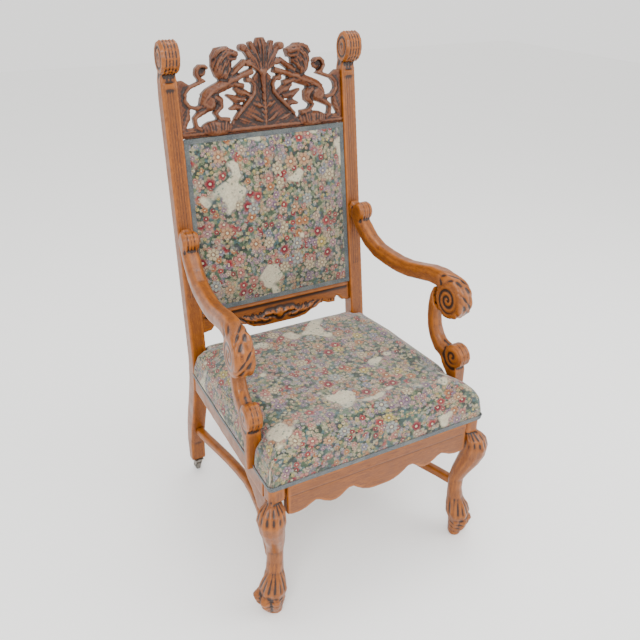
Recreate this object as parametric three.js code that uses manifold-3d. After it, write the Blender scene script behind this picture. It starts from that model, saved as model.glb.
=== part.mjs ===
// Throne: a high-backed oak armchair. A pierced crest of two rampant lions and a palmette stands
// between two scroll-topped posts. The back and the seat are upholstered, the front legs end in
// lion paws, and the back legs stand on small swivel casters.
// Millimetres. +Z is up, the sitter faces -Y, and x = 0 is the plane of symmetry.
import * as THREE from 'three';
import { mergeVertices } from 'three/addons/utils/BufferGeometryUtils.js';
import Module from 'manifold-3d';

const wasm = await Module();
wasm.setup();

// ---------------------------------------------------------------- driving dimensions
const joint = 0.3; // gap left between touching pieces
const depthShift = 30.9; // moves the chair so that y = 0 is the middle of its depth

const backRake = THREE.MathUtils.degToRad(8.1); // the back leans this much behind vertical
const crestFoot = 1010.2; // height where the crest meets the back panel
const postFrontAtCrest = 258.2; // y of the posts' front faces at that height
const postInner = 231.6; // half the clear width between the posts
const postWidth = 41.6;
const postDepth = 38.9;
const finialCentre = [279, 1207]; // y, z of the roll at each post's top
const finialRadii = [33, 42];

const openHalf = postInner - joint; // half width of what fits between the posts
const crestBack = -24; // the crest's back, measured out from the posts' front faces
const crestGround = -11; // the crest's sunk ground
const panelDrop = 463; // height of the upholstered back, along the posts
const panelFront = -7;
const panelBack = -34;
const gimpWidth = 13;
const gimpThickness = 1.8;

const railTop = 383.5; // top of the seat rails, where the cloth starts
const frontY = -345.7; // front rail's front face
const seatFrontHalf = 293; // half the seat's width at the front
const blockSize = 43; // square block at the top of each front leg
const blockBottom = 347;
const sideRailDepth = 46;
const sideRailThickness = 24;
const frontRailThickness = 24;
const rearRailThickness = 22;
const seatCrown = 472; // highest point of the seat
const seatSide = 453; // height where the seat's side turns over

const armThickness = 43;
const knuckleCentre = [375, 655]; // forward distance and height of the carved roll at the arm's front
const knuckleRadii = [49, 55];
const armInnerBack = [238, 172.5]; // x, y of the arm's inner face under its top roll
const armInnerFront = [271.9, -206]; // the same under the middle of the knuckle
const gimpBreak = -240; // y of the supports' feet, where the seat's braid is parted

const supportThickness = 36;
const supportShift = -10; // the support stands this much inside the arm's middle plane
const stretcherHeight = 158;
const stretcherHalf = 12; // half the stretcher's width and height

const rearFoot = 46; // height of the back legs' undersides
const casterX = postInner + postWidth / 2;
const casterY = 247;
const wheelRadius = 16;
const wheelWidth = 12;
const casterTrail = 11; // how far the wheel's axle runs behind the swivel

// ---------------------------------------------------------------- materials
const finish = (color, roughness, metalness = 0) => new THREE.MeshStandardMaterial({ color, roughness, metalness });
const goldenOak = finish(0xa8652c, 0.42);
const carvedOak = finish(0x8a4a24, 0.5);
const tapestry = finish(0x8f8578, 0.95);
const slateGimp = finish(0x6b7378, 0.9);
const agedSteel = finish(0x8b857b, 0.4, 0.8);
const wornWheel = finish(0x6f6658, 0.55, 0.3);

// ---------------------------------------------------------------- solids
function solidOf(geometry) {
  const bare = new THREE.BufferGeometry();
  bare.setAttribute('position', geometry.getAttribute('position'));
  bare.setIndex(geometry.index);
  const merged = mergeVertices(bare, 1e-3);
  const corners = merged.index.array;
  const kept = [];
  for (let i = 0; i < corners.length; i += 3) {
    const [a, b, c] = [corners[i], corners[i + 1], corners[i + 2]];
    if (a !== b && b !== c && c !== a) kept.push(a, b, c);
  }
  return new wasm.Manifold(new wasm.Mesh({
    numProp: 3,
    vertProperties: Float32Array.from(merged.getAttribute('position').array),
    triVerts: Uint32Array.from(kept),
  }));
}

function geometryOf(solid) {
  const mesh = solid.getMesh();
  const geometry = new THREE.BufferGeometry();
  geometry.setAttribute('position', new THREE.BufferAttribute(mesh.vertProperties.slice(), 3));
  geometry.setIndex(Array.from(mesh.triVerts));
  return geometry;
}

const join = (geometries) => geometryOf(geometries.map(solidOf).reduce((whole, next) => whole.add(next)));

const cut = (geometry, tools) => geometryOf(tools.map(solidOf).reduce((left, tool) => left.subtract(tool), solidOf(geometry)));

const keepInside = (geometry, mould) => geometryOf(solidOf(geometry).intersect(solidOf(mould)));

// Turns every triangle round where a closed body came out inside out.
function faceOutwards(geometry) {
  const place = geometry.getAttribute('position');
  const corners = geometry.index.array;
  const [a, b, c] = [new THREE.Vector3(), new THREE.Vector3(), new THREE.Vector3()];
  let volume = 0;
  for (let i = 0; i < corners.length; i += 3) {
    a.fromBufferAttribute(place, corners[i]);
    b.fromBufferAttribute(place, corners[i + 1]);
    c.fromBufferAttribute(place, corners[i + 2]);
    volume += a.dot(b.cross(c));
  }
  if (volume < 0) {
    for (let i = 0; i < corners.length; i += 3) {
      [corners[i], corners[i + 1]] = [corners[i + 1], corners[i]];
    }
  }
  return geometry;
}

const mirrored = (geometry) => faceOutwards(geometry.clone().scale(-1, 1, 1));

// A closed body through rings of points, every ring with the same count, capped at both ends.
function loft(rings) {
  const sides = rings[0].length;
  const points = rings.flat();
  const corners = [];
  for (let ring = 0; ring < rings.length - 1; ring += 1) {
    for (let side = 0; side < sides; side += 1) {
      const here = ring * sides + side;
      const next = ring * sides + ((side + 1) % sides);
      corners.push(here, next, next + sides, here, next + sides, here + sides);
    }
  }
  for (const [first, turn] of [[0, 1], [(rings.length - 1) * sides, -1]]) {
    const middle = new THREE.Vector3();
    for (let side = 0; side < sides; side += 1) middle.addScaledVector(points[first + side], 1 / sides);
    points.push(middle);
    for (let side = 0; side < sides; side += 1) {
      const pair = [first + ((side + 1) % sides), first + side];
      if (turn < 0) pair.reverse();
      corners.push(points.length - 1, ...pair);
    }
  }
  const geometry = new THREE.BufferGeometry().setFromPoints(points);
  geometry.setIndex(corners);
  return faceOutwards(geometry);
}

// A flat outline given as [across, up] pairs, extruded by depth. Axes say where the outline's
// first direction, its second direction and the extrusion point.
function plate(outline, depth, axes, origin = [0, 0, 0], bevel = 0) {
  const shape = new THREE.Shape(outline.map(([across, up]) => new THREE.Vector2(across, up)));
  const geometry = indexed(new THREE.ExtrudeGeometry(shape, {
    depth: depth - 2 * bevel, bevelEnabled: bevel > 0, bevelThickness: bevel, bevelSize: bevel,
    bevelOffset: -bevel, bevelSegments: 1,
  }));
  geometry.translate(0, 0, bevel);
  const place = new THREE.Matrix4().makeBasis(...axes.map((axis) => new THREE.Vector3(...axis)));
  return geometry.applyMatrix4(place).translate(...origin);
}

function indexed(geometry) {
  geometry.deleteAttribute('normal');
  geometry.deleteAttribute('uv');
  return mergeVertices(geometry, 1e-3);
}

function box(low, high) {
  const size = high.map((value, i) => value - low[i]);
  const middle = high.map((value, i) => (value + low[i]) / 2);
  return indexed(new THREE.BoxGeometry(...size)).translate(...middle);
}

// Cylinder about the x axis.
function axle(radius, length, centre, sides = 16) {
  return indexed(new THREE.CylinderGeometry(radius, radius, length, sides)).rotateZ(Math.PI / 2).translate(...centre);
}

// count points, evenly spaced, along a smooth curve through the given ones.
function smooth(points, count) {
  const curve = new THREE.CatmullRomCurve3(points.map(([x, y]) => new THREE.Vector3(x, y, 0)), false, 'centripetal');
  return curve.getSpacedPoints(count - 1).map(({ x, y }) => [x, y]);
}

const mix = (a, b, t) => a + (b - a) * t;

// Value along a list at a fraction from 0 to 1.
function along(values, t) {
  const place = t * (values.length - 1);
  const index = Math.min(Math.floor(place), values.length - 2);
  return mix(values[index], values[index + 1], place - index);
}

// Direction across the route at one of its points, in the route's own plane.
function across(route, index) {
  const before = route[Math.max(index - 1, 0)];
  const after = route[Math.min(index + 1, route.length - 1)];
  const length = Math.hypot(after[0] - before[0], after[1] - before[1]);
  return [-(after[1] - before[1]) / length, (after[0] - before[0]) / length];
}

// ---------------------------------------------------------------- carving in relief
// Carved forms of the back are drawn as [across, up] from the foot of the crest, and stand out
// from the flat back of their board to a front height measured from the posts' front faces.
const relief = (a, v, w) => new THREE.Vector3(a, -w, v);

// A stem, limb or scroll: half widths and front heights run evenly along the route.
function stem(route, halfWidths, fronts, count = route.length, back = crestBack) {
  const path = count === route.length ? route : smooth(route, count);
  return loft(path.map(([a, v], index) => {
    const t = index / (path.length - 1);
    const r = along(halfWidths, t);
    const front = along(fronts, t);
    const [na, nv] = across(path, index);
    const section = [[-1, back], [-1, front - 0.75 * r], [0, front + 0.15 * r], [1, front - 0.75 * r], [1, back]];
    return section.map(([side, w]) => relief(a + na * side * r, v + nv * side * r, w));
  }));
}

// A rounded lump: an oval, turned by an angle, that swells from its rim to its middle.
function lump([a, v], [ra, rv], front, { turn = 0, sides = 10, rim = 0.55, back = crestBack } = {}) {
  const swell = Math.min(ra, rv);
  const steps = [[1, back], [1, front - rim * swell], [0.6, front - 0.12 * rim * swell]];
  return loft(steps.map(([scale, w]) => Array.from({ length: sides }, (_, i) => {
    const angle = (i / sides) * 2 * Math.PI;
    const [x, y] = [ra * scale * Math.cos(angle), rv * scale * Math.sin(angle)];
    return relief(a + x * Math.cos(turn) - y * Math.sin(turn), v + x * Math.sin(turn) + y * Math.cos(turn), w);
  })));
}

// A flat-fronted board with the given outline.
const board = (outline, front, back = crestBack) => plate(
  outline, front - back, [[1, 0, 0], [0, 0, 1], [0, -1, 0]], [0, -back, 0]);

// ---------------------------------------------------------------- crest
// One lion, rampant, on the right-hand side and facing the middle.
function lionBody() {
  return [
    stem([[92, 131], [112, 122], [132, 115], [150, 106], [162, 94]], [12, 14, 13, 14, 15], [6, 8, 8, 8, 8]),
    lump([156, 84], [22, 23], 10),
    stem([[140, 97], [125, 86], [124, 72], [139, 56], [128, 41], [102, 37]], [12, 11, 8.5, 6, 5.5, 6.5], [6, 7, 5, 2, 2, 5]),
    stem([[160, 70], [178, 60], [194, 48], [191, 26], [178, 19]], [10, 8, 5.5, 5.5, 6.5], [3, 1, -1, -2, 0]),
    stem([[100, 133], [82, 134], [64, 142], [30, 152]], [11, 8, 6.5, 7.5], [8, 8, 6, 7]),
    stem([[102, 120], [84, 124], [56, 117]], [9, 6.5, 6.5], [3, 3, 3]),
    stem([[90, 146], [72, 159], [46, 178]], [9, 7, 7], [4, 3, 4]),
  ];
}

function lionHead() {
  const locks = [[[104, 212], [124, 204], [137, 188]], [[99, 198], [117, 186], [128, 167]],
    [[97, 180], [113, 167], [122, 150]], [[94, 165], [104, 150], [107, 138]]];
  return [
    lump([111, 173], [28, 44], 9, { turn: -0.12, sides: 10 }),
    lump([102, 200], [17, 17], 12),
    ...locks.map((lock) => stem(lock, [3, 5.5, 2], [11, 13, 7], 3, -4)),
    stem([[102, 198], [86, 198], [69, 194]], [14, 11, 7.5], [13, 12, 8]),
    stem([[98, 185], [73, 184]], [6, 3], [9, 4]),
  ];
}

// The tail leaves the rump, loops up behind the lion's back and ends in a scroll.
function lionTail() {
  const loop = [[170, 76], [186, 72], [204, 77], [215, 92], [213, 110], [201, 123], [184, 129]];
  const curl = Array.from({ length: 7 }, (_, i) => {
    const angle = 0.2 - (i / 6) * 4.4;
    const radius = mix(20, 14, i / 6);
    return [162 + radius * Math.sin(angle + Math.PI), 158 + radius * Math.cos(angle + Math.PI)];
  });
  return [
    stem([...loop, ...curl], [5.5, 4.5, 4.5, 5, 5, 4], [0, -1, -2, -1, 0, 1], 14),
    lump([162, 159], [14, 14], -12, { sides: 8 }),
  ];
}

function lionMound() {
  return [
    lump([137, 20], [42, 20], 3, { sides: 12, rim: 0.4 }),
    ...[-18, 0, 18].map((offset) => stem([[137 + offset, 12], [137 + offset * 1.25, 34]], [5, 2], [6, 4], 2, -6)),
  ];
}

// The strip along the post, with a leaf running down its lower half.
function sideStrip() {
  const outline = [[225, 14], [openHalf, 14], [openHalf, 140], [218, 142], [199, 129], [213, 117], [220, 101], [211, 78],
    [216, 60], [221, 38]];
  return [
    board(outline, crestGround + 3),
    stem([[207, 74], [212, 50], [225, 22]], [3, 8, 4], [-6, -3, -6]),
    stem([[186, 18], [204, 19], [224, 17]], [3, 7, 6], [-6, -3, -5]),
  ];
}

// C-scroll and acanthus between the trunk and the lion's belly.
function foliage() {
  return [
    stem([[86, 36], [56, 68], [30, 94], [25, 115], [39, 135]], [4, 5, 5, 5, 4], [-3, -1, 0, 0, 0], 7),
    lump([44, 131], [7.5, 7.5], 3, { sides: 8 }),
    stem([[40, 92], [62, 102], [82, 113]], [8, 12, 3], [-4, 0, -3]),
    stem([[54, 84], [80, 86], [104, 99]], [7, 10, 3], [-6, -1, -4]),
    stem([[66, 64], [82, 67], [98, 62]], [8, 8, 3], [-6, -2, -5]),
  ];
}

// The middle trunk spreads into a mound; a palmette of lobes opens above it.
function trunk() {
  const half = [[0, 148], [16, 146], [26, 136], [21, 112], [36, 82], [68, 58], [92, 32], [98, 17]];
  const outline = [...half.slice(1).map(([a, v]) => [-a, v]).reverse(), ...half];
  return [
    board(outline, crestGround),
    stem([[0, 17], [0, 80], [0, 140]], [9, 5, 8], [-5, -2, 2], 3, crestGround - 4),
  ];
}

function trunkLeaves() {
  return [
    stem([[8, 24], [20, 31], [36, 42]], [3, 7, 2], [-6, -3, -8], 3, crestGround - 4),
    stem([[6, 60], [16, 66], [30, 72]], [3, 6, 2], [-6, -3, -8], 3, crestGround - 4),
    stem([[46, 24], [60, 30], [76, 38]], [3, 7, 2], [-7, -4, -8], 3, crestGround - 4),
  ];
}

function palmetteSide() {
  return [
    stem([[3, 150], [14, 182], [31, 224]], [4, 9, 5], [0, 6, 2]),
    stem([[7, 152], [26, 182], [48, 210]], [4, 9.5, 6], [0, 5, 3]),
    lump([52, 210], [10.5, 10.5], 8, { sides: 8 }),
    stem([[8, 152], [34, 171]], [5, 6], [0, 4]),
    lump([40, 172], [9.5, 9], 5, { sides: 8 }),
  ];
}

function crest() {
  const side = join([
    ...lionBody(), ...lionHead(), ...lionTail(), ...lionMound(), ...sideStrip(), ...foliage(),
    ...trunkLeaves(), ...palmetteSide(),
  ]);
  const middle = [
    ...trunk(),
    lump([0, 150], [12, 11], 5, { sides: 8 }),
    stem([[0, 150], [0, 186], [0, 214], [0, 233]], [5, 12, 18, 9], [1, 6, 9, 2]),
    board([[-openHalf, 0], [openHalf, 0], [openHalf, 19], [-openHalf, 19]], crestGround + 2),
    stem([[-openHalf, 10], [openHalf, 10]], [4, 4], [-4, -4]),
  ];
  const shape = join([...middle, side, mirrored(side)]);
  return keepInside(shape, box([-openHalf, -20, 0], [openHalf, -crestBack, 240]));
}

// ---------------------------------------------------------------- upholstered back
// Rings of a rectangle with small rounded corners, inset by one amount, at one front height.
function panelRing(inset, front, corner = 5) {
  const [half, top, bottom] = [openHalf - inset, -joint - inset, -panelDrop + joint + inset];
  const centres = [[half, top, 0], [-half, top, 1], [-half, bottom, 2], [half, bottom, 3]];
  return centres.flatMap(([a, v, quarter]) => [0, 0.5, 1].map((step) => {
    const angle = (quarter + step) * (Math.PI / 2);
    const [inA, inV] = [a - Math.sign(a) * corner, v - (quarter < 2 ? corner : -corner)];
    return relief(inA + corner * Math.cos(angle), inV + corner * Math.sin(angle), front);
  }));
}

function backPanel() {
  return loft([
    panelRing(3, panelBack), panelRing(0.2, panelBack + 4), panelRing(0.2, panelFront),
    panelRing(gimpWidth, panelFront + 0.5), panelRing(24, panelFront + 8, 8), panelRing(52, panelFront + 14, 16),
    panelRing(96, panelFront + 18, 30), panelRing(150, panelFront + 20, 40),
  ]);
}

function backGimp() {
  const outer = [[-openHalf + 0.5, -panelDrop + 1], [openHalf - 0.5, -panelDrop + 1], [openHalf - 0.5, -1], [-openHalf + 0.5, -1]];
  const inner = outer.map(([a, v]) => [a - Math.sign(a) * (gimpWidth - 1), v + (v < -9 ? 1 : -1) * (gimpWidth - 1)]);
  const low = panelFront + 0.8;
  return cut(board(outer, low + gimpThickness, low), [board(inner, low + 5, low - 5)]);
}

// ---------------------------------------------------------------- lower back rail
function lowerBackRail() {
  const top = -panelDrop - joint;
  const half = [[openHalf, top], [openHalf, -521], [206, -517], [194, -502], [188, -501], [184, -508], [183, -519],
    [159, -517], [142, -510], [136, -514], [121, -512], [99, -527], [82, -537], [50, -541], [0, -541]];
  const outline = [...half, ...half.slice(0, -1).map(([a, v]) => [-a, v]).reverse()];
  const lift = (members) => members.flatMap((member) => [member, mirrored(member)]);
  const base = -30;
  const leaf = (route, widths, fronts) => stem(route, widths, fronts, route.length, base + 2);
  return join([
    board(outline, -10, base),
    ...lift([
      leaf([[6, -514], [22, -506], [40, -506], [56, -514]], [4, 7, 7, 3], [-6, -2, -3, -7]),
      leaf([[30, -522], [48, -522], [66, -516], [80, -508]], [3, 5, 6, 2], [-7, -4, -4, -8]),
      leaf([[62, -520], [82, -518], [100, -510], [116, -502]], [3, 6, 6, 2], [-7, -4, -4, -8]),
      leaf([[98, -522], [116, -516], [134, -506]], [3, 5, 2], [-7, -5, -8]),
    ]),
    lump([0, -510], [13, 15], -1, { sides: 8, back: base + 2 }),
    stem([[-openHalf + 1, -472], [openHalf - 1, -472]], [3, 3], [-7, -7], 2, base + 2),
  ]);
}

// ---------------------------------------------------------------- posts
// y of the post's front face at height z, in the straight upper part.
const postFront = (z) => postFrontAtCrest + (z - crestFoot) * Math.tan(backRake);

function postSide() {
  const deep = postDepth / Math.cos(backRake);
  const front = smooth([[postFront(470), 470], [173.5, 400], [180, 330], [200, 250], [229, 150], [238, 92], [238, rearFoot]], 8);
  const back = smooth([[262, rearFoot], [270, 92], [270.5, 141], [246, 250], [223, 330], [214.5, 405], [postFront(480) + deep, 480]], 8);
  return [[postFront(1165), 1165], ...front, ...back, [postFront(1100) + deep, 1100], [postFront(1196) + deep - 13, 1196]];
}

// The post's top rolls forward; the roll is ribbed like a folded leaf and has a sunk eye.
function finial() {
  const half = postWidth / 2;
  const steps = [[-half - 3, 0.34], [-half - 3, 0.5], [-half + 1, 0.58], [-half - 3, 0.72], [-half - 3, 0.92], [-half + 4, 1],
    [-half + 9, 0.965], [-half + 14, 1.01], [-3, 0.97]];
  const all = [...steps, ...steps.map(([x, scale]) => [-x, scale]).reverse()];
  const centreX = postInner + half;
  return loft(all.map(([x, scale]) => ringX(centreX + x, finialCentre, finialRadii.map((r) => r * scale), 12)));
}

// An oval ring in the plane of a fixed x.
function ringX(x, [y, z], [ry, rz], sides) {
  return Array.from({ length: sides }, (_, i) => {
    const angle = (i / sides) * 2 * Math.PI;
    return new THREE.Vector3(x, y + ry * Math.cos(angle), z + rz * Math.sin(angle));
  });
}

function post() {
  const blank = plate(postSide(), postWidth, [[0, 1, 0], [0, 0, 1], [1, 0, 0]], [postInner, 0, 0]);
  const reedTop = 1133;
  const reedFoot = 600;
  const grooves = [-10.5, -3.5, 3.5, 10.5].map((x) => loft([reedFoot, reedTop].map((z) => [[-1.7, -3], [1.7, -3], [0, 1.8]].map(
    ([side, deep]) => new THREE.Vector3(postInner + postWidth / 2 + x + side, postFront(z) + deep, z)))));
  const leaf = box([postInner + 9, postFront(reedTop) - 2, reedTop + 1], [postInner + postWidth - 9, postFront(reedTop) + 8, reedTop + 12]);
  return cut(join([blank, finial(), leaf]), grooves);
}

// ---------------------------------------------------------------- arms
// Arms and their supports lie in upright planes that splay outwards towards the front. Their
// shapes are drawn as [forward, up], with forward measured from the arm's inner corner.
const forward = new THREE.Vector2(armInnerFront[0] - armInnerBack[0], armInnerFront[1] - armInnerBack[1]).normalize();

// A point at a forward distance and height, stepped outwards from the arms' inner face.
const armPoint = (s, z, out) => new THREE.Vector3(
  armInnerBack[0] + forward.x * s - forward.y * out, armInnerBack[1] + forward.y * s + forward.x * out, z);

// A bar along a route, with a rounded oblong section: half heights and half widths along it.
function bar(route, halfHeights, halfWidths, middle, count) {
  const path = smooth(route, count);
  const section = [[-1, -0.75], [-0.8, -1], [0.8, -1], [1, -0.75], [1, 0.35], [0.55, 1], [-0.55, 1], [-1, 0.35]];
  return loft(path.map(([s, z], index) => {
    const t = index / (path.length - 1);
    const [hh, hw] = [along(halfHeights, t), along(halfWidths, t)];
    const [ns, nz] = across(path, index);
    return section.map(([out, up]) => armPoint(s + ns * up * hh, z + nz * up * hh, middle + out * hw));
  }));
}

// A roll across the arm, given by steps of [outwards, scale].
function roll([s, z], [rs, rz], middle, steps, sides, turn = 0) {
  return loft(steps.map(([out, scale]) => Array.from({ length: sides }, (_, i) => {
    const angle = (i / sides) * 2 * Math.PI;
    const [x, y] = [rs * scale * Math.cos(angle), rz * scale * Math.sin(angle)];
    return armPoint(s + x * Math.cos(turn) - y * Math.sin(turn), z + x * Math.sin(turn) + y * Math.cos(turn), middle + out);
  })));
}

const ribbed = (half) => [[-half, 0.8], [-half * 0.85, 0.95], [-half * 0.6, 1], [-half * 0.3, 0.955], [0, 1.02],
  [half * 0.3, 0.955], [half * 0.6, 1], [half * 0.85, 0.95], [half, 0.8]];

const plain = (half) => [[-half, 0.82], [-half * 0.8, 1], [half * 0.8, 1], [half, 0.82]];

function arm() {
  const middle = armThickness / 2;
  const rail = bar([[-64, 781], [-44, 770], [-18, 750], [8, 722], [36, 700], [76, 682], [120, 676], [165, 673], [210, 676],
    [255, 685.5], [310, 697], [350, 697], [384, 690]], [14, 17, 20, 20, 20, 20, 20, 20, 20, 20, 21, 22, 22], [20, 21, 21.5, 21.5, 21.5,
    21.5, 21.5, 21.5, 21.5, 21.5, 22, 24, 24], middle, 12);
  const body = join([
    rail,
    roll(knuckleCentre, knuckleRadii, middle, ribbed(25), 14),
    roll([-12, 769], [25, 28], middle, ribbed(22), 12),
    roll([16, 732], [9, 6], middle, plain(17), 7, -0.6),
  ]);
  return cut(body, [postCutter()]);
}

// Everything behind the post's front face, less the joint.
function postCutter() {
  const [low, high] = [480, 1000];
  const outline = [[postFront(low) - joint, low], [postFront(low) + 200, low], [postFront(high) + 200, high], [postFront(high) - joint, high]];
  return plate(outline, 200, [[0, 1, 0], [0, 0, 1], [1, 0, 0]], [150, 0, 0]);
}

function armSupport() {
  const middle = armThickness / 2 + supportShift;
  const half = supportThickness / 2;
  const stemBar = bar([[336, 668], [327, 640], [324, 612], [326, 582], [333, 553], [352, 525], [380, 509], [412, 510]],
    [15, 17, 15.5, 15, 16, 19, 22, 24], [16, 16, 16, 17, 17, 18, 18, 18], middle, 9);
  const foot = plate([[414, railTop + joint], [432, railTop + joint], [432, 478], [424, 500], [372, 500], [380, 478], [408, 446]],
    2 * half, [[forward.x, forward.y, 0], [0, 0, 1], [forward.y, -forward.x, 0]],
    armPoint(0, 0, middle + half).toArray());
  const body = join([
    stemBar,
    foot,
    roll([417, 514], [32, 32], middle, ribbed(half + 2), 12),
    roll([336, 640], [20, 19], middle, plain(half - 1), 9),
  ]);
  return cut(body, [armClearance()]);
}

// The arm's outline grown by the joint, so that the support ends just clear of it.
function armClearance() {
  const middle = armThickness / 2;
  const [rs, rz] = knuckleRadii.map((radius) => radius * 1.03 + joint);
  return join([
    bar([[165, 673], [210, 676], [255, 685.5], [310, 697], [350, 697], [384, 690]], [20.5, 20.5, 20.6, 21.8, 22.8, 22.8],
      [26, 26, 26, 30, 32, 32], middle, 7),
    roll(knuckleCentre, [rs, rz], middle, plain(34), 14),
  ]);
}

// ---------------------------------------------------------------- seat rails
// Half width of the seat's outer face at a given y.
const seatHalf = (y) => mix(seatFrontHalf, postInner + postWidth, (y - frontY) / (postFront(railTop) - frontY));

function frontRail() {
  const edge = seatFrontHalf - blockSize - joint;
  const half = [[edge, 303], [236, 299], [220, 299], [203, 303], [188, 311], [178, 315], [168, 312], [155, 303], [140, 296],
    [126, 294], [112, 299], [100, 308], [90, 315], [78, 315], [66, 306], [52, 297], [34, 290], [17, 288], [0, 288]];
  const bottom = [...half, ...half.slice(0, -1).map(([x, z]) => [-x, z]).reverse()];
  const outline = [[edge, railTop], ...bottom, [-edge, railTop]];
  const rail = plate(outline, frontRailThickness, [[1, 0, 0], [0, 0, 1], [0, -1, 0]], [0, frontY + frontRailThickness, 0], 2);
  const groove = plate([[frontY - 5, 356], [frontY + 3, 352.5], [frontY - 5, 349]], 700, [[0, 1, 0], [0, 0, 1], [1, 0, 0]], [-350, 0, 0]);
  return cut(rail, [groove]);
}

function sideRail() {
  const [front, back] = [frontY + blockSize + joint, postFront(railTop) - 1.6];
  const corners = [[front, 0], [back, 0], [back, sideRailThickness], [front, sideRailThickness]];
  const ring = (z) => corners.map(([y, inset]) => new THREE.Vector3(seatHalf(y) - inset, y, z));
  return loft([ring(railTop - sideRailDepth), ring(railTop)]);
}

const rearRail = () => box([-openHalf, 182, railTop - 66], [openHalf, 182 + rearRailThickness, railTop]);

// ---------------------------------------------------------------- front legs
// A ring around the leg: its centre, half sizes along and across the diagonal, and squareness
// from 0 (round) to 1 (square, with its sides along x and y). Ribs fold the ring's outline.
function legRing(z, [x, y], [outward, sideways], square, ribs = 0) {
  const sides = 12;
  return Array.from({ length: sides }, (_, i) => {
    const angle = ((i + 0.5) / sides) * 2 * Math.PI;
    const fold = 1 + (i % 2 ? ribs : -ribs);
    const round = [outward * Math.cos(angle) * fold, sideways * Math.sin(angle) * fold];
    const turned = [(round[0] - round[1]) * Math.SQRT1_2, (-round[0] - round[1]) * Math.SQRT1_2];
    const reach = Math.max(Math.abs(Math.cos(angle - Math.PI / 4)), Math.abs(Math.sin(angle - Math.PI / 4)));
    const flat = [Math.cos(angle - Math.PI / 4), Math.sin(angle - Math.PI / 4)].map((value) => (value / reach) * (blockSize / 2));
    return new THREE.Vector3(x + mix(turned[0], flat[0], square), y + mix(turned[1], flat[1], square), z);
  });
}

// A toe arches out from the cuff, over its knuckle and down to a blunt claw on the floor.
function toe([x, y], heading, reach, width) {
  const steps = [[0.1, 88, 0.7, 8], [0.62, 72, 0.95, 15], [1, 50, 1, 17], [0.84, 26, 0.9, 14], [0.5, 5, 0.6, 9]];
  const sides = 7;
  return loft(steps.map(([out, z, wide, deep], step) => Array.from({ length: sides }, (_, i) => {
    const angle = ((i + 0.5) / sides) * 2 * Math.PI;
    const radial = out * reach + deep * Math.cos(angle) - deep * 0.6;
    const side = wide * width * 0.5 * Math.sin(angle);
    const lean = step < 2 ? -deep * 0.5 * Math.cos(angle) : 0;
    return new THREE.Vector3(
      x + Math.cos(heading) * radial - Math.sin(heading) * side, y + Math.sin(heading) * radial + Math.cos(heading) * side,
      z - lean - (step < 2 ? deep * 0.4 : 0));
  })));
}

function frontLeg() {
  const blockCentre = [seatFrontHalf - blockSize / 2, frontY + blockSize / 2];
  const at = (outward, sideways = 0) => [
    blockCentre[0] + (outward + sideways) * Math.SQRT1_2, blockCentre[1] + (-outward + sideways) * Math.SQRT1_2];
  const shaft = loft([
    legRing(0, at(-1, 9), [18, 24], 0),
    legRing(50, at(2, 8), [24, 30], 0),
    legRing(74, at(2, 6), [32, 34], 0, 0.05),
    legRing(100, at(-3, 5), [29, 27], 0, 0.06),
    legRing(122, at(-10, 6), [21.5, 21], 0, 0.04),
    legRing(150, at(-13, 6), [19.5, 20.5], 0),
    legRing(184, at(-12.5, 6), [20, 21], 0),
    legRing(216, at(-2, 2), [25, 23.5], 0),
    legRing(246, at(11, 0), [30, 26.5], 0),
    legRing(276, at(22, 0), [32, 30], 0),
    legRing(302, at(26, 0), [32, 34], 0, 0.03),
    legRing(326, at(20, 0), [31, 37], 0.1, 0.05),
    legRing(342, at(9, 0), [29, 36], 0.4, 0.05),
    legRing(blockBottom, at(1), [29, 30], 0.94),
    legRing(blockBottom + 2, at(0), [29, 29], 1),
    legRing(railTop, at(0), [29, 29], 1),
  ]);
  const diagonal = -Math.PI / 4;
  const ball = at(-6, 7);
  return join([
    shaft,
    toe(ball, diagonal - 1.25, 27, 22),
    toe(ball, diagonal - 0.5, 37, 26),
    toe(ball, diagonal + 0.3, 43, 27),
    toe(ball, diagonal + 1.1, 46, 25),
  ]);
}

// A leaf-shaped bracket fills the corner between each front leg and the side rail.
function sideBracket() {
  const top = railTop - sideRailDepth - joint;
  const front = frontY + blockSize + 2;
  const outline = [[front, top], [-168, top], [-186, 322], [-203, 308], [-222, 299], [-238, 284], [-250, 266], [front, 262]];
  const blank = plate(outline, sideRailThickness - 4, [[0, 1, 0], [0, 0, 1], [1, 0, 0]], [seatFrontHalf - 30, 0, 0]);
  return cut(blank, [frontLeg().translate(0, joint, 0)]);
}

// ---------------------------------------------------------------- stretchers
// Low side stretchers, bowed inwards between the front ankle and the back leg.
function stretcher() {
  const path = smooth([[271, -296], [262, -262], [240, -200], [223, -120], [215, -40], [219, 20], [228, 90], [241, 165], [250, 231]], 11);
  const section = [[-1, -0.6], [-0.6, -1], [0.6, -1], [1, -0.6], [1, 0.6], [0.6, 1], [-0.6, 1], [-1, 0.6]];
  const bar = loft(path.map(([x, y], index) => {
    const [nx, ny] = across(path, index);
    return section.map(([side, up]) => new THREE.Vector3(
      x + nx * side * stretcherHalf, y + ny * side * stretcherHalf, stretcherHeight + up * stretcherHalf));
  }));
  return cut(bar, [frontLeg().translate(0, joint, 0), post().translate(0, -joint, 0)]);
}

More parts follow.
